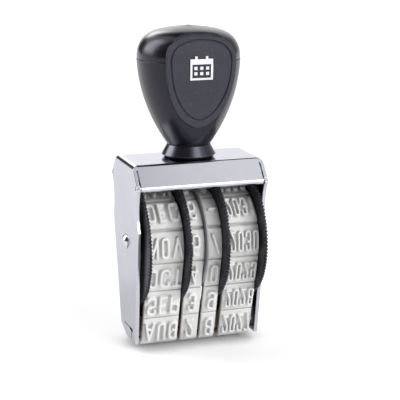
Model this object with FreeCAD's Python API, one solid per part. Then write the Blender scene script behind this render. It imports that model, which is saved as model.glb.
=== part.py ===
import FreeCAD, Part
import math
import os

# Rotary date stamp. Millimetres, +Z up, +X along the axle, -Y is the front.
# The origin is the centre of the printing face, which lies in the plane z = 0.

# ---- driving dimensions -------------------------------------------------------------

# Frame: one bent sheet
SHEET = 1.0                 # sheet thickness
FRAME_HALF_TOP = 20.05      # outer half width where the top plate starts
FRAME_HALF_FOOT = 19.4      # outer half width at the bottom edge: the sides lean in
FOOT_Z = 2.4                # bottom edge of the side plates
TOP_Z = 57.1                # outer face of the top plate
TOP_HALF_DEPTH = 8.95       # bend line between the top plate and a flap
LIP_HALF_DEPTH = 14.4       # lower edge of a flap
LIP_Z = 50.8
SHOULDER_HALF_DEPTH = 13.6  # corner under the hollow in each side plate's edge
SHOULDER_Z = 38.0
HOLLOW_HALF_DEPTH = 12.4    # deepest point of that hollow
FOOT_HALF_DEPTH = 8.0
FOOT_CHAMFER_Y = 5.5        # chamfer on the rear bottom corner
FOOT_CHAMFER_Z = 2.4
BEND_RADIUS = 1.6           # outer radius of every bend in the sheet
FLAP_GAP = 0.3              # open line between a flap and the side plates
HEM_LENGTH = 3.2            # how far the flap's edge is folded back
EAR_R = 0.9                 # the ear at each end of the hem, which hooks into the side plates
EAR_GAP = 0.06
TONGUE_Z = 6.0              # locking tongue cut into the foot of each side plate
TONGUE_FRONT_Y = -3.5
TONGUE_REAR_Y = 4.1
TONGUE_SLIT = 0.4           # width of the level slit
TONGUE_UPRIGHT = 0.9        # width of the upright slit
TONGUE_OVERRUN = 1.3        # how far the relief slot reaches each side of the upright slit

# Axle and wheels
AXLE_Z = 32.5
AXLE_R = 2.0
RUNNING = 0.05              # radial clearance of every running fit
RIVET_R = 2.3
RIVET_HEIGHT = 1.2
WHEEL_R = 19.0              # tip of the teeth
TOOTH_DEPTH = 0.75
TOOTH_COUNT = 108
TOOTH_ROOT_SHARE = 0.31     # half width of a tooth at its root and at its tip, per tooth pitch
TOOTH_TIP_SHARE = 0.17
FLANGE = 0.8                # thickness of the toothed flange
DRUM_WALL = 1.5
HUB_R = 4.2

# Rubber bands, described by the fibre line that keeps its length round the loop
FIBRE_R = 12.8              # round the drum
NOSE_FIBRE_R = 1.0          # round each corner of the print bridge
NOSE_HALF = 4.1             # half the flat at the printing face
UNDER_FIBRE = 0.5           # rubber between the fibre line and the drum
TILE_OVER_FIBRE = 1.3       # fibre line to the face of a tile
TYPE_OVER_FIBRE = 2.4       # fibre line to the face of the raised type
TILES = 12
TYPE_HEIGHT = 6.1           # character height along the band
TILE_SHIFT = -0.7           # how far the bands sit off centre
TILE_GROOVE = 0.4           # width and depth of the line between two tiles
TILE_GROOVE_DEPTH = 0.45
TYPE_MARGIN = 0.6           # bare rubber at each side of the type

# name, band from x to x, side of the drum that has the flange
COLUMNS = [
    ("month", -16.95, -5.90, -1),
    ("tens", -4.85, 0.40, -1),
    ("units", 1.20, 5.90, 1),
    ("year", 7.45, 17.50, 1),
]
SIDE_GAP = 0.05             # band edge to flange
YEAR_HUB_X = 6.90           # the year wheel's hub reaches the units wheel
DIVIDER_X = 0.55
DIVIDER_THICKNESS = 0.5
DIVIDER_R = 16.0

# Print bridge inside the lower end of the bands
CUSHION = 0.8
BRIDGE_TOP_Z = 9.6
BRIDGE_HALF_DEPTH = 4.2
BRIDGE_HALF_WIDTH = 17.9
PEG_R = 0.5                 # the bridge's pegs, which sit in the tongues' relief slots
PEG_Z = TONGUE_Z - TONGUE_SLIT / 2
PEG_RECESS = 0.45

# Handle
COLLAR_TOP_Z = 61.1
COLLAR_WAIST_R = 6.5
COLLAR_WIDE_R = 8.1
COLLAR_WIDE_Z = 58.1
COLLAR_FOOT_R = 7.1
SEAM_Z = 86.5
# radius and height up the bulb, below and above the seam
BODY_PROFILE = [(6.5, 61.2), (10.5, 68.0), (14.0, 77.5), (14.9, 82.2), (15.3, SEAM_Z)]
CAP_PROFILE = [(15.2, SEAM_Z), (14.9, 89.6), (13.05, 92.8), (8.0, 95.1), (0.0, 96.2)]
SEAM_GAP = 0.05
SPIGOT_R = 8.0
SPIGOT_LENGTH = 6.0
# side view of the flattened front, depth and height
FACET = [(-7.95, 62.7), (-10.3, 73.2), (-11.45, 82.2), (-11.55, 88.2), (-10.7, 92.4), (-8.5, 95.3)]
# front view of half the panel's outline and of the line engraved on it, half width and height
PANEL_HALF = [(0.0, 94.1), (4.9, 93.6), (7.4, 92.6), (9.2, 91.2), (10.2, 89.2), (10.45, 86.5),
              (10.05, 81.2), (9.1, 77.2), (7.7, 73.5), (6.0, 70.7), (3.5, 68.5), (0.0, 67.2)]
LINE_HALF = [(0.0, 92.95), (3.4, 92.65), (5.9, 91.9), (7.95, 90.5), (9.1, 88.4), (9.3, 86.0),
             (8.65, 80.6), (7.85, 77.6), (6.7, 75.1), (4.8, 72.2), (2.7, 70.3), (0.0, 69.3)]
PANEL_POCKET = 0.9          # how deep the panel is let into the flattened front
PANEL_PROUD = 0.5           # how far its face stands out
PANEL_CLEARANCE = 0.03
LINE_WIDTH = 0.5
LINE_DEPTH = 0.35
MARK_Z = 84.4
MARK_HALF_WIDTH = 3.4
MARK_HALF_HEIGHT = 3.0
MARK_THICKNESS = 0.25
MARK_LINE = 0.6
SCREW_R = 2.0
SCREW_HEAD_R = 3.8
SCREW_HEAD_HEIGHT = 2.2
SCREW_HEAD_ROUND = 1.0
SCREW_SLOT = 1.0
SCREW_SLOT_DEPTH = 0.9
SCREW_TIP_Z = 71.2
WASHER_R = 4.8
WASHER_THICKNESS = 0.6
INSERT_R = 3.4
INSERT_TOP_Z = 72.2
INSERT_FOOT_Z = 61.8

# ---- helpers ------------------------------------------------------------------------

FAR = 30.0                  # well outside the object, for cutting blocks
X_AXIS = FreeCAD.Vector(1, 0, 0)
Y_AXIS = FreeCAD.Vector(0, 1, 0)
Z_AXIS = FreeCAD.Vector(0, 0, 1)


def at_yz(point, x=0.0):
    return FreeCAD.Vector(x, point[0], point[1])


def at_xz(point, y=0.0):
    return FreeCAD.Vector(point[0], y, point[1])


def face_of(points):
    return Part.Face(Part.makePolygon(list(points) + [points[0]]))


def prism_x(face, x_from, x_to):
    """Extrude a face that lies in the plane x = 0."""
    return face.translated(X_AXIS * x_from).extrude(X_AXIS * (x_to - x_from))


def rod_x(radius, x_from, x_to, y=0.0, z=AXLE_Z):
    return Part.makeCylinder(radius, x_to - x_from, FreeCAD.Vector(x_from, y, z), X_AXIS)


def rod_z(radius, z_from, z_to):
    return Part.makeCylinder(radius, z_to - z_from, FreeCAD.Vector(0, 0, z_from), Z_AXIS)


def box(x, y, z):
    return Part.makeBox(x[1] - x[0], y[1] - y[0], z[1] - z[0], FreeCAD.Vector(x[0], y[0], z[0]))


def mirrored_y(shape):
    return shape.mirror(FreeCAD.Vector(0, 0, 0), Y_AXIS)


def spline(points):
    curve = Part.BSplineCurve()
    curve.interpolate(points)
    return curve.toShape()


def edges_near(shape, test):
    return [edge for edge in shape.Edges if test(edge.CenterOfMass)]


# ---- frame --------------------------------------------------------------------------

def frame_half_at(z):
    """Outer half width of the frame at a height."""
    slope = (FRAME_HALF_TOP - FRAME_HALF_FOOT) / (TOP_Z - FOOT_Z)
    return FRAME_HALF_FOOT + slope * (z - FOOT_Z)


def channel():
    """The sheet bent into a U: two leaning sides and a flat top, deep along Y."""
    def trapezium(inset, foot_z):
        top = TOP_Z - inset
        corners = [(-frame_half_at(foot_z) + inset, foot_z), (-frame_half_at(top) + inset, top),
                   (frame_half_at(top) - inset, top), (frame_half_at(foot_z) - inset, foot_z)]
        depth = 2 * LIP_HALF_DEPTH + 4
        face = face_of([at_xz(corner, -depth / 2) for corner in corners])
        solid = face.extrude(Y_AXIS * depth)
        bends = edges_near(solid, lambda c: c.z > top - 0.01 and abs(c.x) > 15 and abs(c.y) < 1)
        return solid.makeFillet(BEND_RADIUS - inset, bends)

    return trapezium(0.0, FOOT_Z).cut(trapezium(SHEET, FOOT_Z - 5))


def side_outline():
    """Side view of the frame, as a face in the plane x = 0."""
    def edge_line(side):
        lip = at_yz((side * LIP_HALF_DEPTH, LIP_Z))
        middle = at_yz((side * HOLLOW_HALF_DEPTH, (LIP_Z + SHOULDER_Z) / 2))
        shoulder = at_yz((side * SHOULDER_HALF_DEPTH, SHOULDER_Z))
        return lip, middle, shoulder

    front_lip, front_middle, front_shoulder = edge_line(-1)
    rear_lip, rear_middle, rear_shoulder = edge_line(1)
    front_top = at_yz((-TOP_HALF_DEPTH, TOP_Z))
    rear_top = at_yz((TOP_HALF_DEPTH, TOP_Z))
    front_foot = at_yz((-FOOT_HALF_DEPTH, FOOT_Z))
    rear_heel = at_yz((FOOT_HALF_DEPTH, FOOT_Z + FOOT_CHAMFER_Z))
    rear_foot = at_yz((FOOT_HALF_DEPTH - FOOT_CHAMFER_Y, FOOT_Z))
    edges = [
        Part.makeLine(front_top, front_lip),
        Part.Arc(front_lip, front_middle, front_shoulder).toShape(),
        Part.makeLine(front_shoulder, front_foot),
        Part.makeLine(front_foot, rear_foot),
        Part.makeLine(rear_foot, rear_heel),
        Part.makeLine(rear_heel, rear_shoulder),
        Part.Arc(rear_shoulder, rear_middle, rear_lip).toShape(),
        Part.makeLine(rear_lip, rear_top),
        Part.makeLine(rear_top, front_top),
    ]
    return Part.Face(Part.Wire(edges))


def flap_direction():
    """Unit vectors down the front flap and inwards from its outer face, as (y, z)."""
    run_y = -(LIP_HALF_DEPTH - TOP_HALF_DEPTH)
    run_z = LIP_Z - TOP_Z
    length = math.hypot(run_y, run_z)
    down = (run_y / length, run_z / length)
    return down, (-down[1], down[0]), length


def flap_point(along, inward):
    down, inner, _ = flap_direction()
    return (-TOP_HALF_DEPTH + along * down[0] + inward * inner[0],
            TOP_Z + along * down[1] + inward * inner[1])


def flap_half_turn():
    """Tangent of half the bend angle between the top plate and a flap."""
    down = flap_direction()[0]
    return math.tan(math.atan2(-down[1], -down[0]) / 2)


def flaps_and_top():
    """The top plate with a flap bent down at the front and at the rear."""
    length = flap_direction()[2]
    half_turn = flap_half_turn()
    inner_bend = (-TOP_HALF_DEPTH + SHEET * half_turn, TOP_Z - SHEET)
    end = length - SHEET
    front = [flap_point(end, SHEET), inner_bend]
    front_outer = [(-TOP_HALF_DEPTH, TOP_Z), flap_point(end, 0.0)]
    points = (front_outer[::-1] + [(-y, z) for y, z in front_outer]
              + [(-y, z) for y, z in front] + front[::-1])
    half_width = frame_half_at(LIP_Z) - SHEET - FLAP_GAP
    sheet = prism_x(face_of([at_yz(p) for p in points]), -half_width, half_width)
    outer = edges_near(sheet, lambda c: c.z > TOP_Z - 0.01 and abs(abs(c.y) - TOP_HALF_DEPTH) < 0.01
                       and abs(c.x) < 1)
    sheet = sheet.makeFillet(BEND_RADIUS, outer)
    hem_face = [flap_point(end - HEM_LENGTH, 0.0), flap_point(end, 0.0),
                flap_point(end, 2 * SHEET), flap_point(end - HEM_LENGTH, 2 * SHEET)]
    hem = prism_x(face_of([at_yz(p) for p in hem_face]), -half_width, half_width)
    roll_y, roll_z = flap_point(end, SHEET)
    hem = hem.fuse(rod_x(SHEET, -half_width, half_width, roll_y, roll_z))
    # an ear at each end of the hem hooks into the side plates
    ear_y, ear_z = flap_point(end - 0.2, SHEET)
    reach = frame_half_at(ear_z) - 0.1
    hem = hem.fuse(rod_x(EAR_R, -reach, reach, ear_y, ear_z))
    return sheet.fuse([hem, mirrored_y(hem)])


def tongue_slits():
    """The L-shaped slit and its relief hole, cut through both side plates."""
    reach = FRAME_HALF_TOP + 1
    half = TONGUE_SLIT / 2
    level = box((-reach, reach), (TONGUE_FRONT_Y, TONGUE_REAR_Y), (TONGUE_Z - half, TONGUE_Z + half))
    def span(half_width):
        return TONGUE_FRONT_Y - half_width, TONGUE_FRONT_Y + half_width

    upright = box((-reach, reach), span(TONGUE_UPRIGHT / 2), (FOOT_Z - 1, PEG_Z))
    relief_r = PEG_R + RUNNING
    relief = box((-reach, reach), span(TONGUE_OVERRUN), (PEG_Z - relief_r, PEG_Z + relief_r))
    ends = [rod_x(relief_r, -reach, reach, y, PEG_Z) for y in span(TONGUE_OVERRUN)]
    return level.fuse([upright, relief] + ends)


def make_frame():
    down_to = flap_point(flap_direction()[2] - SHEET - 0.2, SHEET)
    reach = FRAME_HALF_TOP + 1
    notch = rod_x(EAR_R + EAR_GAP, -reach, reach, down_to[0], down_to[1])
    sides = channel().common(prism_x(side_outline(), -reach, reach))
    sides = sides.cut([notch, mirrored_y(notch), tongue_slits()])
    # between the sides, the flaps' own sheet makes the two bends of the top
    inner = frame_half_at(LIP_Z) - SHEET - FLAP_GAP
    relief = box((-inner, inner), (TOP_HALF_DEPTH - 3, LIP_HALF_DEPTH + 2), (LIP_Z - 5, TOP_Z + 1))
    sides = sides.cut([relief, mirrored_y(relief)])
    frame = sides.fuse(flaps_and_top())
    axle_hole = rod_x(AXLE_R + RUNNING, -reach, reach)
    screw_hole = rod_z(SCREW_R + 0.2, TOP_Z - 3, TOP_Z + 1)
    return frame.cut([axle_hole, screw_hole]).removeSplitter()


# ---- axle, wheels and discs ---------------------------------------------------------

def make_axle():
    seat = frame_half_at(AXLE_Z + RIVET_R) + 0.03
    shank = rod_x(AXLE_R, -seat - 0.2, seat + 0.2)
    dome_r = (RIVET_R ** 2 + RIVET_HEIGHT ** 2) / (2 * RIVET_HEIGHT)
    heads = []
    for side in (-1, 1):
        tip = side * (seat + RIVET_HEIGHT)
        ball = Part.makeSphere(dome_r, FreeCAD.Vector(tip - side * dome_r, 0, AXLE_Z))
        ends = sorted((side * seat, side * (seat + 5)))
        heads.append(ball.common(rod_x(RIVET_R, ends[0], ends[1])))
    return shank.fuse(heads).removeSplitter()


def toothed_disc(x_from, x_to):
    points = []
    step = 2 * math.pi / TOOTH_COUNT
    for tooth in range(TOOTH_COUNT):
        for share, radius in ((-TOOTH_ROOT_SHARE, WHEEL_R - TOOTH_DEPTH), (-TOOTH_TIP_SHARE, WHEEL_R),
                              (TOOTH_TIP_SHARE, WHEEL_R), (TOOTH_ROOT_SHARE, WHEEL_R - TOOTH_DEPTH)):
            angle = (tooth + share) * step
            points.append(at_yz((radius * math.cos(angle), AXLE_Z + radius * math.sin(angle))))
    return prism_x(face_of(points), x_from, x_to)


def make_wheel(name, band_from, band_to, flange_side):
    """A drum that carries the band, closed on one side by the toothed flange."""
    drum_r = FIBRE_R - UNDER_FIBRE - RUNNING - 0.03
    drum_from, drum_to = band_from - SIDE_GAP, band_to + SIDE_GAP
    hub_from, hub_to = drum_from, drum_to
    if flange_side < 0:
        flange = (drum_from - FLANGE, drum_from)
        hub_from = flange[0]
    else:
        flange = (drum_to, drum_to + FLANGE)
        hub_to = flange[1]
        if name == "year":
            hub_from = YEAR_HUB_X
    drum = rod_x(drum_r, drum_from, drum_to).cut(rod_x(drum_r - DRUM_WALL, drum_from, drum_to))
    wheel = drum.fuse([toothed_disc(*flange), rod_x(HUB_R, hub_from, hub_to)])
    return wheel.cut(rod_x(AXLE_R + RUNNING, hub_from - 1, hub_to + 1)).removeSplitter()


def make_divider():
    disc = rod_x(DIVIDER_R, DIVIDER_X, DIVIDER_X + DIVIDER_THICKNESS)
    return disc.cut(rod_x(AXLE_R + RUNNING, DIVIDER_X - 1, DIVIDER_X + 2))


def make_spring_washer(x_from, x_to):
    """A dished spring washer round the axle."""
    inner, outer, thickness = AXLE_R + 0.3, HUB_R + 0.4, 0.3
    section = [(x_from, inner), (x_from + thickness, inner), (x_to, outer), (x_to - thickness, outer)]
    face = face_of([FreeCAD.Vector(x, 0, AXLE_Z + radius) for x, radius in section])
    return face.revolve(FreeCAD.Vector(0, 0, AXLE_Z), X_AXIS, 360)


def make_shim_washer(x_from, x_to):
    return rod_x(HUB_R + 0.4, x_from, x_to).cut(rod_x(AXLE_R + RUNNING, x_from - 1, x_to + 1))


# ---- bands --------------------------------------------------------------------------

NOSE_Z = TYPE_OVER_FIBRE + NOSE_FIBRE_R
RISE = AXLE_Z - NOSE_Z
REACH = math.hypot(NOSE_HALF, RISE)
# angle from straight down to where the band leaves the drum
LEAVE = math.atan2(NOSE_HALF, RISE) + math.acos((FIBRE_R - NOSE_FIBRE_R) / REACH)
STRAIGHT = math.sqrt(REACH ** 2 - (FIBRE_R - NOSE_FIBRE_R) ** 2)
CORNER_ARC = NOSE_FIBRE_R * LEAVE
HALF_LOOP = NOSE_HALF + CORNER_ARC + STRAIGHT + FIBRE_R * (math.pi - LEAVE)
PITCH = 2 * HALF_LOOP / TILES


def loop_place(travel):
    """Point (y, z) and outward angle from straight down on the fibre line, front side."""
    if travel <= NOSE_HALF:
        return (-travel, TYPE_OVER_FIBRE), 0.0
    travel -= NOSE_HALF
    if travel <= CORNER_ARC:
        angle = travel / NOSE_FIBRE_R
        return (-NOSE_HALF - NOSE_FIBRE_R * math.sin(angle),
                NOSE_Z - NOSE_FIBRE_R * math.cos(angle)), angle
    travel -= CORNER_ARC
    if travel <= STRAIGHT:
        y = -NOSE_HALF - NOSE_FIBRE_R * math.sin(LEAVE) - travel * math.cos(LEAVE)
        z = NOSE_Z - NOSE_FIBRE_R * math.cos(LEAVE) + travel * math.sin(LEAVE)
        return (y, z), LEAVE
    angle = LEAVE + (travel - STRAIGHT) / FIBRE_R
    return (-FIBRE_R * math.sin(angle), AXLE_Z - FIBRE_R * math.cos(angle)), angle


def loop_face(offset):
    """Closed outline of the loop at a distance outside the fibre line."""
    nose_r, drum_r = NOSE_FIBRE_R + offset, FIBRE_R + offset

    def on_nose(side, angle):
        return at_yz((side * (NOSE_HALF + nose_r * math.sin(angle)), NOSE_Z - nose_r * math.cos(angle)))

    def on_drum(side, angle):
        return at_yz((side * drum_r * math.sin(angle), AXLE_Z - drum_r * math.cos(angle)))

    edges = [
        Part.makeLine(on_nose(-1, 0), on_nose(1, 0)),
        Part.Arc(on_nose(1, 0), on_nose(1, LEAVE / 2), on_nose(1, LEAVE)).toShape(),
        Part.makeLine(on_nose(1, LEAVE), on_drum(1, LEAVE)),
        Part.Arc(on_drum(1, LEAVE), on_drum(1, math.pi), on_drum(-1, LEAVE)).toShape(),
        Part.makeLine(on_drum(-1, LEAVE), on_nose(-1, LEAVE)),
        Part.Arc(on_nose(-1, LEAVE), on_nose(-1, LEAVE / 2), on_nose(-1, 0)).toShape(),
    ]
    return Part.Face(Part.Wire(edges))


def ring(inner_offset, outer_offset, x_from, x_to):
    return prism_x(loop_face(outer_offset).cut(loop_face(inner_offset)), x_from, x_to)


def between_tiles(width, low, high, x_from, x_to):
    """One block per gap between tiles, from low to high over the fibre line."""
    blocks = []
    for gap in range(TILES):
        travel = (gap + 0.5) * PITCH + TILE_SHIFT
        rear = travel > HALF_LOOP
        point, angle = loop_place(2 * HALF_LOOP - travel if rear else travel)
        spread = 1 + (low + high) / 2 / FIBRE_R if angle > LEAVE else 1
        half = width * spread / 2
        block = box((x_from, x_to), (-half, half), (-high, -low))
        block.rotate(FreeCAD.Vector(0, 0, 0), X_AXIS, -math.degrees(angle))
        block.translate(at_yz(point))
        blocks.append(mirrored_y(block) if rear else block)
    return blocks


def make_band(x_from, x_to):
    """An endless rubber band with a block of raised type on each tile."""
    loop = ring(-UNDER_FIBRE, TILE_OVER_FIBRE, x_from, x_to)
    loop = loop.cut(between_tiles(TILE_GROOVE, TILE_OVER_FIBRE - TILE_GROOVE_DEPTH, TILE_OVER_FIBRE + 1,
                                  x_from - 1, x_to + 1))
    relief = ring(TILE_OVER_FIBRE - 0.2, TYPE_OVER_FIBRE, x_from + TYPE_MARGIN, x_to - TYPE_MARGIN)
    relief = relief.cut(between_tiles(PITCH - TYPE_HEIGHT, 0.0, TYPE_OVER_FIBRE + 1,
                                      x_from - 1, x_to + 1))
    return loop.fuse(relief).removeSplitter()


# ---- print bridge -------------------------------------------------------------------

def make_cushion():
    low = TYPE_OVER_FIBRE + UNDER_FIBRE + 0.04
    return box((-BRIDGE_HALF_WIDTH + 0.4, BRIDGE_HALF_WIDTH - 0.4), (-NOSE_HALF, NOSE_HALF),
               (low, low + CUSHION))


def make_bridge():
    low = TYPE_OVER_FIBRE + UNDER_FIBRE + 0.04 + CUSHION
    width = (-BRIDGE_HALF_WIDTH, BRIDGE_HALF_WIDTH)
    bar = box(width, (-BRIDGE_HALF_DEPTH, BRIDGE_HALF_DEPTH), (low, BRIDGE_TOP_Z))
    hollow = box((-BRIDGE_HALF_WIDTH - 1, BRIDGE_HALF_WIDTH + 1),
                 (-BRIDGE_HALF_DEPTH + SHEET, BRIDGE_HALF_DEPTH - SHEET), (low + SHEET, BRIDGE_TOP_Z + 1))
    reach = frame_half_at(PEG_Z) - PEG_RECESS
    pegs = rod_x(PEG_R, -reach, reach, TONGUE_FRONT_Y, PEG_Z)
    return bar.cut(hollow).fuse(pegs).removeSplitter()


# ---- handle -------------------------------------------------------------------------

def turned(edges):
    """Revolve an outline that lies in the plane y = 0 about the Z axis."""
    return Part.Face(Part.Wire(edges)).revolve(FreeCAD.Vector(0, 0, 0), Z_AXIS, 360)


def in_front_of_facet(offset):
    """Everything in front of the flattened face, moved forward by an offset."""
    curve = [at_yz((y - offset, z), -FAR) for y, z in FACET]
    top = FreeCAD.Vector(-FAR, -FAR, FACET[-1][1])
    foot = FreeCAD.Vector(-FAR, -FAR, FACET[0][1])
    edges = [spline(curve), Part.makeLine(curve[-1], top), Part.makeLine(top, foot),
             Part.makeLine(foot, curve[0])]
    return Part.Face(Part.Wire(edges)).extrude(X_AXIS * 2 * FAR)


def shrunk(half_points, amount):
    """Half of a symmetric outline, every point moved inwards along its normal."""
    (x0, z0), (x1, z1) = half_points[1], half_points[-2]
    before = [(-x0, z0)] + half_points[:-1]
    after = half_points[1:] + [(-x1, z1)]
    moved = []
    for (x, z), (bx, bz), (ax, az) in zip(half_points, before, after):
        run_x, run_z = ax - bx, az - bz
        length = math.hypot(run_x, run_z)
        moved.append((x + amount * run_z / length, z - amount * run_x / length))
    return moved


def outline_prism(half_points):
    """Extrude a symmetric front-view outline through the front half of the handle."""
    right = [at_xz(p) for p in half_points]
    left = [at_xz((-x, z)) for x, z in half_points[::-1]]
    curve = Part.BSplineCurve()
    curve.interpolate(right + left[1:-1], PeriodicFlag=True)
    return Part.Face(Part.Wire([curve.toShape()])).extrude(Y_AXIS * -FAR)


def panel_seat():
    """What the body and the cap lose to the flattened front and the panel's pocket."""
    pocket = in_front_of_facet(-PANEL_POCKET).common(outline_prism(PANEL_HALF))
    return in_front_of_facet(0.0).fuse(pocket)


def make_handle_body():
    foot_r, foot_z = BODY_PROFILE[0]
    top_r = BODY_PROFILE[-1][0]
    axis_foot, axis_top = at_xz((0, foot_z)), at_xz((0, SEAM_Z))
    bulb = turned([
        Part.makeLine(axis_foot, at_xz((foot_r, foot_z))),
        spline([at_xz(p) for p in BODY_PROFILE]),
        Part.makeLine(at_xz((top_r, SEAM_Z)), axis_top),
        Part.makeLine(axis_top, axis_foot),
    ])
    pocket = rod_z(SPIGOT_R + RUNNING, SEAM_Z - SPIGOT_LENGTH - 0.5, SEAM_Z + 1)
    insert_seat = rod_z(INSERT_R + 0.02, INSERT_FOOT_Z - 0.02, INSERT_TOP_Z + 0.02)
    screw_way = rod_z(SCREW_R + 0.3, foot_z - 1, INSERT_TOP_Z)
    return bulb.cut([pocket, insert_seat, screw_way, panel_seat()]).removeSplitter()


def make_handle_cap():
    foot_z = SEAM_Z + SEAM_GAP
    foot = at_xz((CAP_PROFILE[0][0], foot_z))
    axis_foot, axis_top = at_xz((0, foot_z)), at_xz(CAP_PROFILE[-1])
    curve = spline([foot] + [at_xz(p) for p in CAP_PROFILE[1:]])
    dome = turned([Part.makeLine(axis_foot, foot), curve, Part.makeLine(axis_top, axis_foot)])
    spigot = rod_z(SPIGOT_R, SEAM_Z - SPIGOT_LENGTH, foot_z + 1)
    spigot = spigot.cut(rod_z(SPIGOT_R - 1.5, SEAM_Z - SPIGOT_LENGTH - 1, foot_z + 1))
    return dome.cut(panel_seat()).fuse(spigot).removeSplitter()


def make_panel():
    """Raised shield on the flattened front, with a line engraved inside its rim."""
    plate = in_front_of_facet(0.02 - PANEL_POCKET).cut(in_front_of_facet(PANEL_PROUD))
    # its edge stands just clear of the pocket's wall
    plate = plate.common(outline_prism(shrunk(PANEL_HALF, PANEL_CLEARANCE)))
    line = outline_prism(LINE_HALF).cut(outline_prism(shrunk(LINE_HALF, LINE_WIDTH)))
    return plate.cut(line.common(in_front_of_facet(PANEL_PROUD - LINE_DEPTH))).removeSplitter()


def make_mark():
    """A plain calendar sheet: a frame, a heading bar and six day squares."""
    wide, high = MARK_HALF_WIDTH, MARK_HALF_HEIGHT
    deep = (-FAR, 0)

    def plate(x_from, x_to, z_from, z_to):
        return box((x_from, x_to), deep, (MARK_Z + z_from, MARK_Z + z_to))

    heading = high - 1.5
    sheet = plate(-wide, wide, -high, high)
    window = plate(-wide + MARK_LINE, wide - MARK_LINE, -high + MARK_LINE, heading)
    days = []
    square = 0.9
    for column in (-1, 0, 1):
        for row in (0, 1):
            x, z = column * 1.75, heading - 1.1 - row * 1.55
            days.append(plate(x - square / 2, x + square / 2, z - square / 2, z + square / 2))
    rings = [plate(x - 0.35, x + 0.35, high - 0.5, high + 0.8) for x in (-1.6, 1.6)]
    figure = sheet.cut(window).fuse(days + rings)
    face_offset = PANEL_PROUD + 0.02
    skin = in_front_of_facet(face_offset).cut(in_front_of_facet(face_offset + MARK_THICKNESS))
    return figure.common(skin)


def make_collar():
    foot_z = TOP_Z + 0.02
    section = [(SCREW_R + 0.3, foot_z), (COLLAR_FOOT_R, foot_z), (COLLAR_WIDE_R, COLLAR_WIDE_Z),
               (COLLAR_WAIST_R, COLLAR_TOP_Z), (SCREW_R + 0.3, COLLAR_TOP_Z)]
    points = [at_xz(p) for p in section]
    return face_of(points).revolve(FreeCAD.Vector(0, 0, 0), Z_AXIS, 360)


def make_screw():
    washer_low = TOP_Z - SHEET - 0.02 - WASHER_THICKNESS
    head_top = washer_low - 0.02
    head = rod_z(SCREW_HEAD_R, head_top - SCREW_HEAD_HEIGHT, head_top)
    head_foot = head_top - SCREW_HEAD_HEIGHT
    head = head.makeFillet(SCREW_HEAD_ROUND, edges_near(head, lambda c: c.z < head_foot + 0.01))
    slot = box((-SCREW_SLOT / 2, SCREW_SLOT / 2), (-WASHER_R, WASHER_R),
               (head_foot - 1, head_foot + SCREW_SLOT_DEPTH))
    return rod_z(SCREW_R, head_top - 0.1, SCREW_TIP_Z).fuse(head).cut(slot).removeSplitter()


def make_screw_washer():
    high = TOP_Z - SHEET - 0.02
    return rod_z(WASHER_R, high - WASHER_THICKNESS, high).cut(rod_z(SCREW_R + 0.2, high - 2, high + 1))


def make_insert():
    body = rod_z(INSERT_R, INSERT_FOOT_Z, INSERT_TOP_Z)
    return body.cut(rod_z(SCREW_R + 0.03, INSERT_FOOT_Z - 1, SCREW_TIP_Z + 0.3))


# ---- write every node ---------------------------------------------------------------

def make_nodes():
    month_from, year_to = COLUMNS[0][1], COLUMNS[-1][2]
    inner_wall = frame_half_at(AXLE_Z - HUB_R - 0.5) - SHEET - 0.03
    left_stack = month_from - SIDE_GAP - FLANGE - 0.02
    right_stack = year_to + SIDE_GAP + FLANGE + 0.02
    nodes = {
        "frame": make_frame(),
        "axle": make_axle(),
        "divider_disc": make_divider(),
        "spring_washer": make_spring_washer(-inner_wall, left_stack),
        "shim_washer": make_shim_washer(right_stack, inner_wall),
        "print_bridge": make_bridge(),
        "bridge_cushion": make_cushion(),
        "neck_collar": make_collar(),
        "handle_body": make_handle_body(),
        "handle_cap": make_handle_cap(),
        "handle_panel": make_panel(),
        "handle_mark": make_mark(),
        "handle_screw": make_screw(),
        "screw_washer": make_screw_washer(),
        "handle_insert": make_insert(),
    }
    for name, band_from, band_to, flange_side in COLUMNS:
        nodes["thumbwheel_" + name] = make_wheel(name, band_from, band_to, flange_side)
        nodes["band_" + name] = make_band(band_from, band_to)
    return nodes


os.makedirs("parts", exist_ok=True)
for node, shape in make_nodes().items():
    shape.exportStep("parts/" + node + ".step")
    print(node, len(shape.Solids), shape.isValid(), round(shape.Volume, 1))
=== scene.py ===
import math

import bpy
import numpy as np
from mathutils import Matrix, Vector


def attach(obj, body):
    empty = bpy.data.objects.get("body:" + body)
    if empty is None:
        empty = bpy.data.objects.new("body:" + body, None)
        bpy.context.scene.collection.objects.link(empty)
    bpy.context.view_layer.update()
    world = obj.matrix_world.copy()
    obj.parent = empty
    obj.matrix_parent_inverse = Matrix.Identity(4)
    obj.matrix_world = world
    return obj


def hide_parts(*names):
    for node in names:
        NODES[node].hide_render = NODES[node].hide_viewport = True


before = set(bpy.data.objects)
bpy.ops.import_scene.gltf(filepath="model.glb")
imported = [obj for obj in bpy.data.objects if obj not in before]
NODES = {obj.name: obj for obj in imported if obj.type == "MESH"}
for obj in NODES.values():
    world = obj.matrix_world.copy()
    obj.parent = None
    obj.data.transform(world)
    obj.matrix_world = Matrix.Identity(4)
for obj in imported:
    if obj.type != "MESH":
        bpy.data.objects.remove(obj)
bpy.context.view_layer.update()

MM = 0.001
SCENE = bpy.context.scene


# ---- the loop that every rubber band follows, in millimetres --------------------------

AXLE_Z = 32.5
FIBRE_R = 12.8              # fibre line round the drum
NOSE_FIBRE_R = 1.0          # round each corner of the print bridge
NOSE_HALF = 4.1             # half the flat at the printing face
UNDER_FIBRE = 0.5           # rubber inside the fibre line
TILE_OVER_FIBRE = 1.3       # fibre line to the face of a tile
TYPE_OVER_FIBRE = 2.4       # fibre line to the face of the type
TILES = 12
TILE_SHIFT = -0.7           # how far the bands sit off centre
TYPE_HEIGHT = 6.3           # character height along the band

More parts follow.
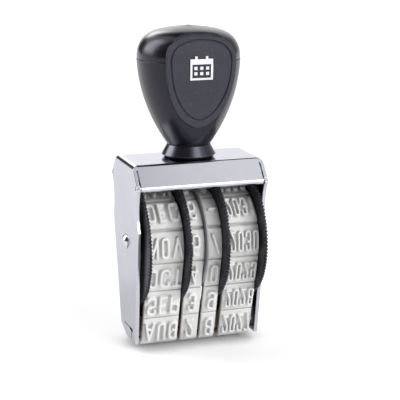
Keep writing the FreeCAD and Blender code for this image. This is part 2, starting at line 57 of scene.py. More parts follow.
NOSE_Z = TYPE_OVER_FIBRE + NOSE_FIBRE_R
RISE = AXLE_Z - NOSE_Z
REACH = math.hypot(NOSE_HALF, RISE)
LEAVE = math.atan2(NOSE_HALF, RISE) + math.acos((FIBRE_R - NOSE_FIBRE_R) / REACH)
STRAIGHT = math.sqrt(REACH ** 2 - (FIBRE_R - NOSE_FIBRE_R) ** 2)
CORNER_ARC = NOSE_FIBRE_R * LEAVE
HALF_LOOP = NOSE_HALF + CORNER_ARC + STRAIGHT + FIBRE_R * (math.pi - LEAVE)
PITCH = 2 * HALF_LOOP / TILES


def loop_place(travel):
    """Point (y, z) on the fibre line and the outward angle from straight down."""
    travel = (travel + HALF_LOOP) % (2 * HALF_LOOP) - HALF_LOOP
    side = -1 if travel >= 0 else 1
    rest = abs(travel)
    if rest <= NOSE_HALF:
        return side * rest, TYPE_OVER_FIBRE, 0.0
    rest -= NOSE_HALF
    if rest <= CORNER_ARC:
        angle = rest / NOSE_FIBRE_R
        y = NOSE_HALF + NOSE_FIBRE_R * math.sin(angle)
        z = NOSE_Z - NOSE_FIBRE_R * math.cos(angle)
    elif rest <= CORNER_ARC + STRAIGHT:
        angle = LEAVE
        rest -= CORNER_ARC
        y = NOSE_HALF + NOSE_FIBRE_R * math.sin(LEAVE) + rest * math.cos(LEAVE)
        z = NOSE_Z - NOSE_FIBRE_R * math.cos(LEAVE) + rest * math.sin(LEAVE)
    else:
        angle = LEAVE + (rest - CORNER_ARC - STRAIGHT) / FIBRE_R
        y = FIBRE_R * math.sin(angle)
        z = AXLE_Z - FIBRE_R * math.cos(angle)
    return side * y, z, -side * angle


# ---- a narrow rounded stroke face for the type ------------------------------------------

# Each stroke is a list of corners in a box one wide and one high. A corner is rounded by
# default; a third value of 0 keeps it sharp. A stroke whose last entry is "closed" is a ring.
S = 0
RING = "closed"
GLYPHS = {
    "0": [[(0, 0), (0, 1), (1, 1), (1, 0), RING]],
    "1": [[(.15, .78, S), (.6, 1, S), (.6, 0)]],
    "2": [[(0, .72), (0, 1), (1, 1), (1, .56), (0, 0, S), (1, 0)]],
    "3": [[(0, .78), (0, 1), (1, 1), (1, .53), (.4, .53)],
          [(.4, .53), (1, .53), (1, 0), (0, 0), (0, .22)]],
    "4": [[(.72, 0), (.72, 1, S), (0, .26, S), (1, .26)]],
    "5": [[(.95, 1), (.08, 1, S), (.04, .58, S), (1, .62), (1, 0), (0, 0), (0, .2)]],
    "6": [[(1, .8), (1, 1), (0, 1), (0, 0), (1, 0), (1, .58), (0, .58, S)]],
    "7": [[(0, 1), (1, 1, S), (.35, 0)]],
    "8": [[(0, 0), (0, .53), (1, .53), (1, 0), RING],
          [(.04, .53), (.04, 1), (.96, 1), (.96, .53), RING]],
    "9": [[(0, .2), (0, 0), (1, 0), (1, 1), (0, 1), (0, .42), (1, .42, S)]],
    "-": [[(.05, .5), (.95, .5)]],
    "/": [[(.05, 0), (.95, 1)]],
    "A": [[(0, 0), (.5, 1, S), (1, 0)], [(.2, .3), (.8, .3)]],
    "B": [[(0, 0, S), (0, .53, S), (1, .53), (1, 0), RING],
          [(0, .53, S), (0, 1, S), (.92, 1), (.92, .53), RING]],
    "C": [[(1, .74), (1, 1), (0, 1), (0, 0), (1, 0), (1, .26)]],
    "D": [[(0, 0, S), (0, 1, S), (1, 1), (1, 0), RING]],
    "E": [[(1, 1), (0, 1, S), (0, 0, S), (1, 0)], [(0, .52), (.8, .52)]],
    "F": [[(1, 1), (0, 1, S), (0, 0)], [(0, .52), (.8, .52)]],
    "G": [[(1, .76), (1, 1), (0, 1), (0, 0), (1, 0), (1, .46, S), (.55, .46)]],
    "J": [[(1, 1), (1, 0), (0, 0), (0, .26)]],
    "L": [[(0, 1), (0, 0, S), (1, 0)]],
    "M": [[(0, 0), (0, 1, S), (.5, .35, S), (1, 1, S), (1, 0)]],
    "N": [[(0, 0), (0, 1, S), (1, 0, S), (1, 1)]],
    "O": [[(0, 0), (0, 1), (1, 1), (1, 0), RING]],
    "P": [[(0, 0), (0, 1, S), (1, 1), (1, .45), (0, .45)]],
    "R": [[(0, 0), (0, 1, S), (1, 1), (1, .48), (0, .48)], [(.5, .48), (1, 0)]],
    "S": [[(1, .8), (1, 1), (0, 1), (0, .53), (1, .53), (1, 0), (0, 0), (0, .2)]],
    "T": [[(0, 1), (1, 1)], [(.5, 1), (.5, 0)]],
    "U": [[(0, 1), (0, 0), (1, 0), (1, 1)]],
    "V": [[(0, 1), (.5, 0, S), (1, 1)]],
    "Y": [[(0, 1), (.5, .48, S), (1, 1)], [(.5, .48), (.5, 0)]],
}
LETTER_WIDTH = {"V": 1.3, "C": 1.15, "A": 1.15, "M": 1.3, "E": 0.85, "F": 0.85, "L": 0.8, "J": 0.8}
CORNER_SHARE = 0.55         # corner radius, as a share of a letter's width
CORNER_STEPS = 6


def rounded_stroke(corners, radius):
    """Points along a stroke whose corners are replaced by arcs."""
    closed = corners[-1] == RING
    if closed:
        corners = corners[:-1]
    count = len(corners)
    points = []
    for i, corner in enumerate(corners):
        here = np.array(corner[:2], float)
        is_end = not closed and i in (0, count - 1)
        if is_end or len(corner) == 3:
            points.append(here)
            continue
        before = np.array(corners[i - 1][:2], float) - here
        after = np.array(corners[(i + 1) % count][:2], float) - here
        cut = min(radius, 0.5 * np.linalg.norm(before), 0.5 * np.linalg.norm(after))
        start = here + before / np.linalg.norm(before) * cut
        end = here + after / np.linalg.norm(after) * cut
        for step in range(CORNER_STEPS + 1):
            t = step / CORNER_STEPS
            points.append((1 - t) ** 2 * start + 2 * t * (1 - t) * here + t ** 2 * end)
    if closed:
        points.append(points[0])
    return points


def text_segments(text, left, width, height, stroke, gap):
    """Line segments of a word that fills a width from its left end, in millimetres."""
    shares = [LETTER_WIDTH.get(letter, 1.0) for letter in text]
    unit = (width - gap * (len(text) - 1)) / sum(shares)
    segments = []
    for letter, share in zip(text, shares):
        glyph = unit * share - stroke
        for corners in GLYPHS.get(letter, []):
            scaled = []
            for corner in corners:
                if corner == RING:
                    scaled.append(RING)
                    continue
                x = left + stroke / 2 + corner[0] * glyph
                y = (corner[1] - 0.5) * (height - stroke)
                scaled.append((x, y) + tuple(corner[2:]))
            points = rounded_stroke(scaled, CORNER_SHARE * glyph)
            segments += list(zip(points[:-1], points[1:]))
        left += unit * share + gap
    return segments


def distance_to_segments(x, y, segments):
    best = np.full(x.shape, np.inf)
    for a, b in segments:
        run = b - a
        length2 = max(float(run @ run), 1e-9)
        t = np.clip(((x - a[0]) * run[0] + (y - a[1]) * run[1]) / length2, 0, 1)
        best = np.minimum(best, np.hypot(x - a[0] - t * run[0], y - a[1] - t * run[1]))
    return best


def smooth(value, low, high):
    """Zero below low, one above high, with an eased step between them."""
    t = np.clip((value - low) / (high - low), 0, 1)
    return t * t * (3 - 2 * t)


# ---- bands ----------------------------------------------------------------------------

GROOVE_HALF = 0.16          # between two tiles where the band runs straight
GROOVE_FLAT = 0.02          # half its flat floor
GROOVE_DEPTH = 0.5
GROOVE_EXTRA_DEPTH = 0.25   # where the tiles fan out round the drum
DRUM_TYPE_SHARE = 0.7       # how much of the stretch round the drum the type resists
EDGE_ROUND = 0.25
CORE_HEIGHT = 0.6           # top of the woven core over the fibre line
CORE_SEAM = 0.05            # height over which the rubber gives way to the core
FLANK = 0.14                # half the run of a letter's sloping side
TYPE_END = (0.02, 0.2)      # where the type fades out past its own height
PLACING = 0.05              # how far each tile's type wanders
CELL = 0.125                # size of the mesh's cells across the band
STEPS_PER_TILE = 76         # and how many there are along a tile
# levels of painted shade that the rubber material reads: 0 on type, 1 on a tile, more in a groove; 3 marks
# the core
GROOVE_PAINTED_SHADE = 0.6
CORE_SHADE = 3.0


def drum_stretch(travel, over_fibre):
    """How much longer a layer of rubber is than the fibre line at this place."""
    travel = (travel + HALF_LOOP) % (2 * HALF_LOOP) - HALF_LOOP
    on_drum = abs(travel) > NOSE_HALF + CORNER_ARC + STRAIGHT
    return 1 + over_fibre / FIBRE_R if on_drum else 1.0


def tile_relief(word, centre, across, along, stroke, gap, margins, wander):
    """Height over the fibre line and shade of one tile, on a grid across and along the band."""
    width = across[-1] - across[0]
    resisted = DRUM_TYPE_SHARE * (1 - 1 / drum_stretch(centre, TYPE_OVER_FIBRE))
    type_height = TYPE_HEIGHT * (1 - resisted)
    segments = text_segments(word, across[0] + margins[0], width - sum(margins), type_height, stroke, gap)
    grid_x, grid_s = np.meshgrid(across, along)
    distance = distance_to_segments(grid_x - wander[0], -grid_s - wander[1], segments)
    rise = 1 - smooth(distance, stroke / 2 - FLANK, stroke / 2 + FLANK)
    rise *= 1 - smooth(np.abs(grid_s), type_height / 2 + TYPE_END[0], type_height / 2 + TYPE_END[1])
    # the tiles stay stiff, so the grooves between them open into a V round the drum
    fan = np.array([1 - 1 / drum_stretch(centre + s, TILE_OVER_FIBRE) for s in along])
    opening = (PITCH / 2 * fan)[:, None]
    groove = 1 - smooth(PITCH / 2 - np.abs(grid_s), GROOVE_FLAT, 2 * GROOVE_HALF + opening)
    depth = GROOVE_DEPTH + GROOVE_EXTRA_DEPTH * (opening > 0)
    from_edge = np.clip(np.minimum(grid_x - across[0], across[-1] - grid_x) / EDGE_ROUND, 0, 1)
    rounding = EDGE_ROUND * (1 - np.sqrt(np.clip(1 - (1 - from_edge) ** 2, 0, 1)))
    height = TILE_OVER_FIBRE + (TYPE_OVER_FIBRE - TILE_OVER_FIBRE) * rise
    height -= depth * groove + rounding * (1 - rise)
    return height, np.clip(1 - rise + GROOVE_PAINTED_SHADE * groove, 0, 1 + GROOVE_PAINTED_SHADE)


def band_mesh(name, x_from, x_to, words, stroke, gap, margins):
    """The outer face as a fine height field wrapped on the loop, closed by the inner face."""
    x = np.linspace(x_from, x_to, round((x_to - x_from) / CELL) + 1)
    local = np.linspace(-0.5, 0.5, STEPS_PER_TILE, endpoint=False) * PITCH
    centres = [tile * PITCH + TILE_SHIFT for tile in range(TILES)]
    rng = np.random.default_rng(len(name) * 7 + int(10 * abs(x_from)))
    tiles = [tile_relief(word, centre, x - (x_from + x_to) / 2, local, stroke, gap, margins,
                         rng.normal(0, PLACING, 2))
             for word, centre in zip(words, centres)]
    height = np.vstack([tile[0] for tile in tiles])
    shade = np.vstack([tile[1] for tile in tiles])
    travel = np.concatenate([local + centre for centre in centres])
    y, z, angle = np.array([loop_place(t) for t in travel]).T[:, :, None]
    count = len(travel)

    # down the side walls: the end of the rubber, then the woven core on the inside
    wall = [CORE_HEIGHT, CORE_HEIGHT - CORE_SEAM, -UNDER_FIBRE]
    wall_shade = [1.0, CORE_SHADE, CORE_SHADE]
    section_x = np.concatenate([x, np.full(len(wall), x_to), np.full(len(wall), x_from)])
    height = np.hstack([height, np.tile(wall + wall[::-1], (count, 1))])
    shade = np.hstack([shade, np.tile(wall_shade + wall_shade[::-1], (count, 1))])
    across = len(section_x)
    corners = [np.broadcast_to(section_x, (count, across)),
               y - np.sin(angle) * height, z - np.cos(angle) * height]
    vertices = np.stack(corners, axis=-1).reshape(-1, 3) * MM
    i, j = np.meshgrid(np.arange(count), np.arange(across), indexing="ij")
    i2, j2 = (i + 1) % count, (j + 1) % across
    faces = np.stack([i * across + j, i * across + j2, i2 * across + j2, i2 * across + j], axis=-1)
    faces = faces.reshape(-1, 4)
    mesh = bpy.data.meshes.new(name)
    mesh.vertices.add(len(vertices))
    mesh.vertices.foreach_set("co", vertices.ravel())
    mesh.loops.add(len(faces) * 4)
    mesh.loops.foreach_set("vertex_index", faces.ravel())
    mesh.polygons.add(len(faces))
    mesh.polygons.foreach_set("loop_start", np.arange(0, len(faces) * 4, 4))
    mesh.update(calc_edges=True)
    mesh.polygons.foreach_set("use_smooth", np.ones(len(faces), bool))
    attribute = mesh.attributes.new("recess", "FLOAT", "POINT")
    attribute.data.foreach_set("value", shade.ravel().astype(np.float32))
    mesh.validate()
    return mesh


FIRST_YEAR = 2026
MONTHS = ["JUL", "AUG", "SEP", "OCT", "NOV", "DEC", "JAN", "FEB", "MAR", "APR", "MAY", "JUN"]
TENS = list("1234567890") + ["-", "/"]
UNITS = list("7890/-") + list("123456")
YEARS = [str(FIRST_YEAR + tile) for tile in range(TILES)]
BANDS = [
    # name, left and right edge, words, stroke, gap between letters, bare margins
    ("month", -16.95, -5.90, MONTHS, 0.85, 0.75, (0.4, 0.5)),
    ("tens", -4.85, 0.40, TENS, 0.75, 0.0, (1.1, 1.65)),
    ("units", 1.20, 5.90, UNITS, 0.75, 0.0, (1.15, 0.95)),
    ("year", 7.45, 17.50, YEARS, 0.70, 0.45, (0.5, 0.5)),
]


# ---- materials ------------------------------------------------------------------------

# Noise scales are in cells per metre, and every length is in metres.

class Shader:
    """Builds one node tree; values given to add() are numbers, tuples or sockets."""

    def __init__(self, material):
        self.material = material
        material.use_nodes = True
        self.tree = material.node_tree
        self.tree.nodes.clear()
        self.place = self.add("ShaderNodeTexCoord").outputs["Object"]

    def add(self, kind, inputs=None, **settings):
        node = self.tree.nodes.new(kind)
        for key, value in settings.items():
            setattr(node, key, value)
        for key, value in (inputs or {}).items():
            socket = node.inputs[key]
            if isinstance(value, bpy.types.NodeSocket):
                self.tree.links.new(value, socket)
            else:
                socket.default_value = value
        return node

    def math(self, operation, a, b=0.0):
        return self.add("ShaderNodeMath", {0: a, 1: b}, operation=operation).outputs[0]

    def ramp(self, value, low, high, to_low=0.0, to_high=1.0):
        """An eased step from to_low at low to to_high at high."""
        node = self.add("ShaderNodeMapRange", {"Value": value, "From Min": low, "From Max": high,
                                               "To Min": to_low, "To Max": to_high})
        node.interpolation_type = "SMOOTHSTEP"
        return node.outputs[0]

    def wobble(self, base, pattern, amount):
        """The base value, moved up and down by a pattern that runs from zero to one."""
        return self.math("ADD", base, self.math("MULTIPLY", self.math("SUBTRACT", pattern, 0.5), amount))

    def mix(self, share, a, b):
        node = self.add("ShaderNodeMix", {"Factor": share}, data_type="RGBA")
        for key, value in ((6, a), (7, b)):
            if isinstance(value, bpy.types.NodeSocket):
                self.tree.links.new(value, node.inputs[key])
            else:
                node.inputs[key].default_value = (*value, 1.0)
        return node.outputs[2]

    def stretched(self, scale, rotation=(0, 0, 0)):
        inputs = {"Vector": self.place, "Scale": scale, "Rotation": rotation}
        return self.add("ShaderNodeMapping", inputs).outputs[0]

    def noise(self, scale, detail=3.0, rough=0.55, vector=None):
        inputs = {"Vector": vector or self.place, "Scale": scale, "Detail": detail, "Roughness": rough}
        return self.add("ShaderNodeTexNoise", inputs).outputs["Fac"]

    def speckle(self, scale, size):
        """Scattered dots, one where a cell of the pattern is near its centre."""
        node = self.add("ShaderNodeTexVoronoi", {"Vector": self.place, "Scale": scale})
        return self.ramp(node.outputs["Distance"], size, 0.4 * size)

    def scratches(self, amount, scale=1.0):
        """Sparse fine lines in three directions."""
        total = None
        for turn, (tilt, lean) in enumerate(((0.5, 0.2), (1.9, 0.9), (2.7, 2.2))):
            vector = self.stretched((1400 * scale, 1400 * scale, 45 * scale), (tilt, lean, 0.7 * turn))
            line = self.ramp(self.noise(1.0, 2.0, 0.5, vector), 0.70, 0.76)
            total = line if total is None else self.math("MAXIMUM", total, line)
        return self.math("MULTIPLY", total, amount)

    def edges(self, radius):
        """One where the surface turns sharply within a radius."""
        bevel = self.add("ShaderNodeBevel", {"Radius": radius}, samples=6)
        true = self.add("ShaderNodeNewGeometry").outputs["Normal"]
        dot = self.add("ShaderNodeVectorMath", {0: bevel.outputs[0], 1: true}, operation="DOT_PRODUCT")
        turn = self.math("SUBTRACT", 1.0, dot.outputs["Value"])
        return self.ramp(turn, 0.02, 0.30)

    def crevice(self, reach, low=0.15, high=0.5):
        """One deep in a narrow gap, zero on open surface."""
        open_share = self.add("ShaderNodeAmbientOcclusion", {"Distance": reach}, samples=8).outputs["AO"]
        return self.ramp(open_share, low, high, 1.0, 0.0)

    def soft_normal(self, radius):
        return self.add("ShaderNodeBevel", {"Radius": radius}, samples=8).outputs[0]

    def bump(self, height, strength, distance, normal=None):
        inputs = {"Height": height, "Strength": strength, "Distance": distance}
        if normal is not None:
            inputs["Normal"] = normal
        return self.add("ShaderNodeBump", inputs).outputs[0]

    def finish(self, **inputs):
        names = {"color": "Base Color", "rough": "Roughness", "metal": "Metallic", "normal": "Normal",
                 "specular": "Specular IOR Level", "tint": "Specular Tint",
                 "glow": "Emission Color", "glow_level": "Emission Strength"}
        bsdf = self.add("ShaderNodeBsdfPrincipled", {names[k]: v for k, v in inputs.items()})
        out = self.add("ShaderNodeOutputMaterial")
        self.tree.links.new(bsdf.outputs[0], out.inputs["Surface"])
        return self.material


METAL_EDGE = 0.00022        # radius that a sharp metal edge is rounded to
PLASTIC_EDGE = 0.0003


def metal(name, light, dark, rough, brushed=(900, 900, 30)):
    """Bare metal with clouds, a grain that runs one way, fine scratches, edges lightened as
    partly rubbed wear and partly a painted highlight, and painted shade in its crevices.
    """
    s = Shader(bpy.data.materials.new(name))
    cloud = s.noise(60, 4.0, 0.6)
    grain = s.noise(1.0, 3.0, 0.6, s.stretched(brushed))
    lines = s.scratches(0.6)
    # edges lightened: partly rubbed wear, partly a painted highlight
    rubbed_and_highlit_edge = s.math("MULTIPLY", s.edges(1.6 * METAL_EDGE), 0.5)
    color = s.mix(s.ramp(cloud, 0.3, 0.7), dark, light)
    color = s.mix(rubbed_and_highlit_edge, color, tuple(min(1.0, 1.12 * v) for v in light))
    # painted shade: the colour goes near black deep in narrow gaps and corners
    color = s.mix(s.crevice(0.0009), color, (0.02, 0.02, 0.022))
    r = s.wobble(s.wobble(rough, grain, 0.9 * rough), cloud, 0.8 * rough)
    r = s.math("ADD", r, s.math("MULTIPLY", lines, 0.14))
    height = s.math("ADD", s.math("MULTIPLY", grain, 0.5), s.math("MULTIPLY", lines, -1.0))
    normal = s.bump(height, 0.16, 0.00002, s.soft_normal(METAL_EDGE))
    # the tint takes some light out of reflections at a glancing angle
    return s.finish(color=color, rough=r, metal=1.0, normal=normal, tint=(0.80, 0.80, 0.82, 1.0))


def black_plastic(name, base, rough, peel, edge_radius=PLASTIC_EDGE, worn=(0.11, 0.11, 0.115),
                  specular=0.5, glancing=1.0):
    """Moulded plastic. peel is how uneven its surface is, glancing the share of the gloss
    that is left at a glancing angle, and worn the colour that its chipped edges are lightened to,
    which is partly wear and partly a painted highlight."""
    s = Shader(bpy.data.materials.new(name))
    cloud = s.noise(45, 4.0, 0.6)
    fine = s.noise(1500, 3.0, 0.6)
    lines = s.scratches(0.5, 0.8)
    dust = s.speckle(900, 0.12)
    chipped_and_highlit_edge = s.math("MULTIPLY", s.edges(1.3 * edge_radius), s.ramp(s.noise(350, 3.0), 0.42, 0.62))
    color = s.mix(s.ramp(cloud, 0.3, 0.7), base, tuple(1.5 * v for v in base))
    # chipped edges lightened: partly wear, partly a painted highlight
    color = s.mix(s.math("MULTIPLY", chipped_and_highlit_edge, 0.5), color, worn)
    color = s.mix(s.math("MULTIPLY", dust, 0.10), color, (0.45, 0.44, 0.42))
    r = s.math("ADD", s.wobble(rough, cloud, 0.12), s.math("MULTIPLY", lines, 0.18))
    r = s.math("ADD", r, s.math("MULTIPLY", chipped_and_highlit_edge, 0.15))
    height = s.math("ADD", fine, s.math("MULTIPLY", s.noise(220, 2.0), 2.0))
    height = s.math("ADD", height, s.math("MULTIPLY", lines, -1.0))
    normal = s.bump(height, peel, 0.00003, s.soft_normal(edge_radius))
    facing = s.add("ShaderNodeLayerWeight", {"Blend": 0.5}).outputs["Facing"]
    gloss = s.ramp(facing, 0.62, 0.95, specular, glancing * specular)
    return s.finish(color=color, rough=r, normal=normal, specular=gloss, tint=(0.84, 0.84, 1.0, 1.0))


def rubber():
    """Pale rubber, greyed by painted shade where the mesh's recess value is high, and woven core above that.
    """
    s = Shader(bpy.data.materials.new("pale_rubber"))
    recess = s.add("ShaderNodeAttribute", attribute_name="recess").outputs["Fac"]
    cloud = s.noise(120, 4.0, 0.6)
    fine = s.noise(2600, 3.0, 0.6)
    dust = s.speckle(1300, 0.16)
    # painted shade: the tile face and recesses are darker than the type's face
    face = s.mix(s.ramp(cloud, 0.3, 0.75), (0.63, 0.63, 0.625), (0.70, 0.70, 0.695))
    low = s.mix(s.ramp(cloud, 0.3, 0.75), (0.57, 0.57, 0.565), (0.65, 0.65, 0.645))
    color = s.mix(s.ramp(recess, 0.15, 1.0), face, low)
    # painted shade: darker deep in narrow gaps between letters and tiles
    painted_nook_shade = s.math("MULTIPLY", s.crevice(0.001, 0.2, 0.9), 0.5)
    color = s.mix(painted_nook_shade, color, (0.20, 0.20, 0.19))
    # painted shade: the grooves between the tiles are darker
    color = s.mix(s.ramp(recess, 1.05, 1.5, 0.0, 0.3), color, (0.20, 0.195, 0.18))
    color = s.mix(s.math("MULTIPLY", dust, 0.30), color, (0.35, 0.34, 0.31))
    weave = s.mix(s.ramp(s.noise(1500, 2.0), 0.4, 0.6), (0.34, 0.24, 0.13), (0.52, 0.39, 0.25))
    color = s.mix(s.ramp(recess, 1.8, 2.6), color, weave)
    normal = s.bump(s.math("ADD", fine, s.noise(500, 3.0)), 0.25, 0.00002)
    return s.finish(color=color, rough=s.wobble(0.55, cloud, 0.25), normal=normal, specular=0.4)


def slate():
    """The matte dark grey of the handle's panel."""
    s = Shader(bpy.data.materials.new("slate_matte"))
    cloud = s.noise(70, 4.0, 0.6)
    fine = s.noise(2400, 3.0, 0.65)
    lines = s.scratches(0.7, 0.7)
    color = s.mix(s.ramp(cloud, 0.3, 0.7), (0.021, 0.021, 0.033), (0.031, 0.031, 0.044))
    color = s.mix(s.math("MULTIPLY", lines, 0.12), color, (0.16, 0.16, 0.18))
    color = s.mix(s.ramp(fine, 0.45, 0.75, 0.0, 0.35), color, (0.07, 0.07, 0.09))
    normal = s.bump(fine, 0.5, 0.00003, s.soft_normal(PLASTIC_EDGE))
    return s.finish(color=color, rough=s.wobble(0.55, cloud, 0.2), normal=normal, specular=0.3)


def enamel():
    """White paint, a little worn at its edges."""
    s = Shader(bpy.data.materials.new("white_enamel"))
    cloud = s.noise(200, 4.0, 0.6)
    fine = s.noise(1800, 3.0, 0.6)
    worn = s.math("MULTIPLY", s.edges(0.00012), s.ramp(fine, 0.5, 0.7, 0.0, 0.6))
    color = s.mix(s.ramp(cloud, 0.3, 0.7), (0.62, 0.62, 0.64), (0.76, 0.76, 0.77))
    color = s.mix(worn, color, (0.35, 0.35, 0.37))
    return s.finish(color=color, rough=s.wobble(0.38, cloud, 0.2), normal=s.bump(fine, 0.25, 0.00002))


def black_cushion():
    """Soft, dusty black rubber."""
    s = Shader(bpy.data.materials.new("soft_black_rubber"))
    cloud = s.noise(150, 4.0, 0.6)
    fine = s.noise(2200, 4.0, 0.7)
    color = s.mix(s.ramp(cloud, 0.3, 0.7), (0.02, 0.02, 0.02), (0.045, 0.045, 0.043))
    return s.finish(color=color, rough=s.wobble(0.75, cloud, 0.2), normal=s.bump(fine, 0.5, 0.00004))


MATERIALS = {
    "nickel": metal("polished_nickel", (0.545, 0.550, 0.602), (0.51, 0.515, 0.567), 0.12),
    "rivet": metal("peened_steel", (0.66, 0.66, 0.71), (0.55, 0.55, 0.60), 0.10, (300, 900, 900)),
    "spring": metal("spring_steel", (0.50, 0.50, 0.53), (0.33, 0.33, 0.36), 0.28, (300, 900, 900)),
    "bridge": metal("pressed_steel", (0.52, 0.52, 0.54), (0.38, 0.38, 0.40), 0.32, (30, 900, 900)),
    "zinc": metal("zinc_plate", (0.60, 0.62, 0.66), (0.44, 0.46, 0.50), 0.3, (900, 900, 300)),
    "brass": metal("turned_brass", (0.78, 0.60, 0.30), (0.60, 0.44, 0.20), 0.3, (300, 300, 900)),
    # the light edge colours given to the disc and the wheels are partly wear, partly a painted highlight on
    # the teeth
    "disc": black_plastic("grey_fibre", (0.23, 0.23, 0.24), 0.5, 0.3, 0.00012, (0.45, 0.45, 0.46)),
    "wheel": black_plastic("moulded_black", (0.013, 0.013, 0.016), 0.42, 0.25, 0.00015,
                           (0.24, 0.24, 0.25), specular=0.4),
    "collar": black_plastic("turned_black", (0.006, 0.006, 0.009), 0.22, 0.12, specular=0.8),
    "handle": black_plastic("gloss_black", (0.0045, 0.0045, 0.007), 0.24, 0.08, specular=0.38,
                            glancing=0.12),
    "cap": black_plastic("cap_black", (0.0045, 0.0045, 0.007), 0.22, 0.08, specular=0.42),
    "slate": slate(),
    "mark": enamel(),
    "cushion": black_cushion(),
    "rubber": rubber(),
}
CAD_FINISH = {
    "frame": "nickel", "axle": "rivet", "divider_disc": "disc", "spring_washer": "spring",
    "shim_washer": "spring", "print_bridge": "bridge", "bridge_cushion": "cushion",
    "neck_collar": "collar", "handle_body": "handle", "handle_cap": "cap", "handle_panel": "slate",
    "handle_mark": "mark", "handle_screw": "zinc", "screw_washer": "zinc", "handle_insert": "brass",
    "thumbwheel_month": "wheel", "thumbwheel_tens": "wheel", "thumbwheel_units": "wheel",
    "thumbwheel_year": "wheel",
}
for node, finish in CAD_FINISH.items():
    for slot in NODES[node].material_slots:
        slot.material = MATERIALS[finish]

for name, x_from, x_to, words, stroke, gap, margins in BANDS:
    mesh = band_mesh("band_" + name + "_type", x_from, x_to, words, stroke, gap, margins)
    band = bpy.data.objects.new("band_" + name + "_type", mesh)
    SCENE.collection.objects.link(band)
    mesh.materials.append(MATERIALS["rubber"])
    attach(band, "stamp")
    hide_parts("band_" + name)


# ---- floor, light and camera ------------------------------------------------------------

FLOOR_HALF = 40.0
SHADE_REACH = 0.009         # how far the contact shadow spreads round the foot
WALL_LEVEL = 1.15

# Patches of the studio's wall. Each has the heading it is measured from, positive to the right,
# the heading's start, end and softness, then the elevation's, in degrees, and a level: the share
# of the light that a card takes away, or the light that a box adds.
DARK_CARDS = [
    # behind on the right, a strip overhead draws the dark line along the front bend
    ("behind", (-12, 46, 5), (36, 120, 3), 0.97),
    # low behind on the left, a card draws the line along the left bend and shades the rivet
    ("behind", (-40, -8, 2), (0, 24, 3), 0.93),
    # the room in front on the left is dark, up to the zenith
    ("front", (-98, -2, 9), (-31, 120, 7), 0.92),
    # the far right is half lit
    ("front", (70, 132, 10), (-30, 60, 8), 0.60),
]
SOFT_BOXES = [
    # high behind on the left, straight behind, and in front on the right
    ("front", (-138, -106, 8), (10, 54, 8), 5.0),
    ("behind", (-12, 10, 6), (20, 32, 3), 4.0),
    ("front", (12, 44, 8), (6, 46, 6), 3.4),
]
LOW_WALL = ("behind", (-4, 40, 8), (5, 22, 5))


def make_floor():
    """Pale paper that glows a little, so that it stays white, with a soft shade round the foot."""
    corners = [(x * FLOOR_HALF, y * FLOOR_HALF, 0) for x, y in ((-1, -1), (1, -1), (1, 1), (-1, 1))]
    mesh = bpy.data.meshes.new("floor")
    mesh.from_pydata(corners, [], [(0, 1, 2, 3)])
    floor = bpy.data.objects.new("floor", mesh)
    SCENE.collection.objects.link(floor)
    s = Shader(bpy.data.materials.new("white_paper"))
    near = s.crevice(SHADE_REACH, 0.2, 0.92)
    color = s.mix(s.noise(3.0, 2.0), (0.68, 0.68, 0.685), (0.71, 0.71, 0.71))
    color = s.mix(near, color, (0.40, 0.40, 0.41))
    level = s.ramp(near, 0.0, 1.0, 0.32, 0.12)
    mesh.materials.append(s.finish(color=color, rough=0.9, specular=0.1, glow=(1, 1, 1, 1), glow_level=level))


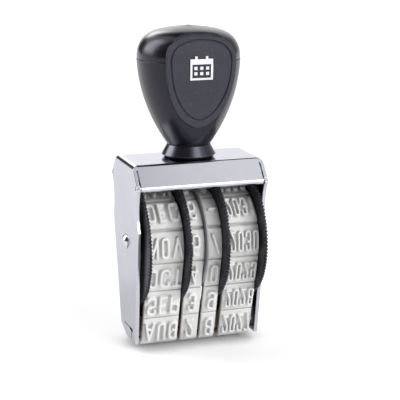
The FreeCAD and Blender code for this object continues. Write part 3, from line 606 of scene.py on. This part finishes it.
def make_world():
    """A pale studio: bright all round, with darker cards above and behind, and in front."""
    world = bpy.data.worlds.new("studio")
    SCENE.world = world
    s = Shader(world)
    x, y, z = s.add("ShaderNodeSeparateXYZ", {0: s.add("ShaderNodeTexCoord").outputs["Generated"]}).outputs
    elevation = s.math("ARCSINE", z)
    heading = {"front": s.math("ARCTAN2", x, s.math("MULTIPLY", y, -1.0)), "behind": s.math("ARCTAN2", x, y)}

    def band(value, low, high, edge):
        """One between two angles in degrees, with soft edges."""
        low, high, edge = map(math.radians, (low, high, edge))
        rise = s.ramp(value, low - edge, low + edge)
        fall = s.ramp(value, high - edge, high + edge, 1.0, 0.0)
        return s.math("MULTIPLY", rise, fall)

    def patch(side, around, up):
        return s.math("MULTIPLY", band(heading[side], *around), band(elevation, *up))

    def darken(level, area, share):
        return s.math("MULTIPLY", level, s.math("SUBTRACT", 1.0, s.math("MULTIPLY", area, share)))

    def lighten(level, area, amount):
        return s.math("ADD", level, s.math("MULTIPLY", area, amount))

    level = WALL_LEVEL
    for *place, share in DARK_CARDS:
        level = darken(level, patch(*place), share)
    # straight overhead is dark too
    level = darken(level, s.ramp(elevation, math.radians(74), math.radians(82)), 0.85)
    # high in front the light falls off to the left
    over = s.math("MULTIPLY", s.ramp(z, 0.78, 0.84), s.ramp(y, 0.0, -0.2))
    level = darken(level, s.math("MULTIPLY", over, s.ramp(x, 0.18, 0.33, 0.55, 0.0)), 1.0)
    for *place, amount in SOFT_BOXES:
        level = lighten(level, patch(*place), amount)
    # the low wall behind, which the top plate mirrors, is a little brighter on its left
    lean = s.ramp(heading["behind"], math.radians(4), math.radians(32), 0.42, 0.20)
    level = lighten(level, patch(*LOW_WALL), lean)
    background = s.add("ShaderNodeBackground", {"Color": (1.0, 1.0, 1.0, 1.0), "Strength": level})
    out = s.add("ShaderNodeOutputWorld")
    s.tree.links.new(background.outputs[0], out.inputs["Surface"])


def toward(azimuth, elevation):
    """Unit vector at an azimuth, zero in front and positive to the right, and an elevation."""
    azimuth, elevation = math.radians(azimuth), math.radians(elevation)
    return Vector((math.sin(azimuth) * math.cos(elevation), -math.cos(azimuth) * math.cos(elevation),
                   math.sin(elevation)))


def place_facing_back(obj, target, direction, distance):
    """Put a lamp or camera at a distance from the target, looking back at it."""
    obj.location = target + direction * distance
    obj.rotation_euler = (-direction).to_track_quat("-Z", "Y").to_euler()
    SCENE.collection.objects.link(obj)


def sun(name, azimuth, elevation, strength, spread):
    """A broad, distant light that shades surfaces without showing as a disc in the gloss."""
    data = bpy.data.lights.new(name, "SUN")
    data.energy = strength
    data.angle = math.radians(spread)
    light = bpy.data.objects.new(name, data)
    place_facing_back(light, Vector(), toward(azimuth, elevation), 1.0)
    light.visible_glossy = False


def make_camera():
    """A long lens 369 mm away, in front on the left and a little above."""
    data = bpy.data.cameras.new("camera")
    data.sensor_width = 36.0
    data.lens = 109.8
    data.clip_start = 0.01
    camera = bpy.data.objects.new("camera", data)
    place_facing_back(camera, Vector((3.6, 0.0, 43.3)) * MM, toward(-18.6, 13.2), 0.369)
    SCENE.camera = camera


make_floor()
make_world()
make_camera()
sun("key_sun", 52, 26, 1.3, 10)
sun("back_sun", 165, 55, 0.5, 70)
SCENE.view_settings.view_transform = "Standard"
SCENE.view_settings.look = "None"
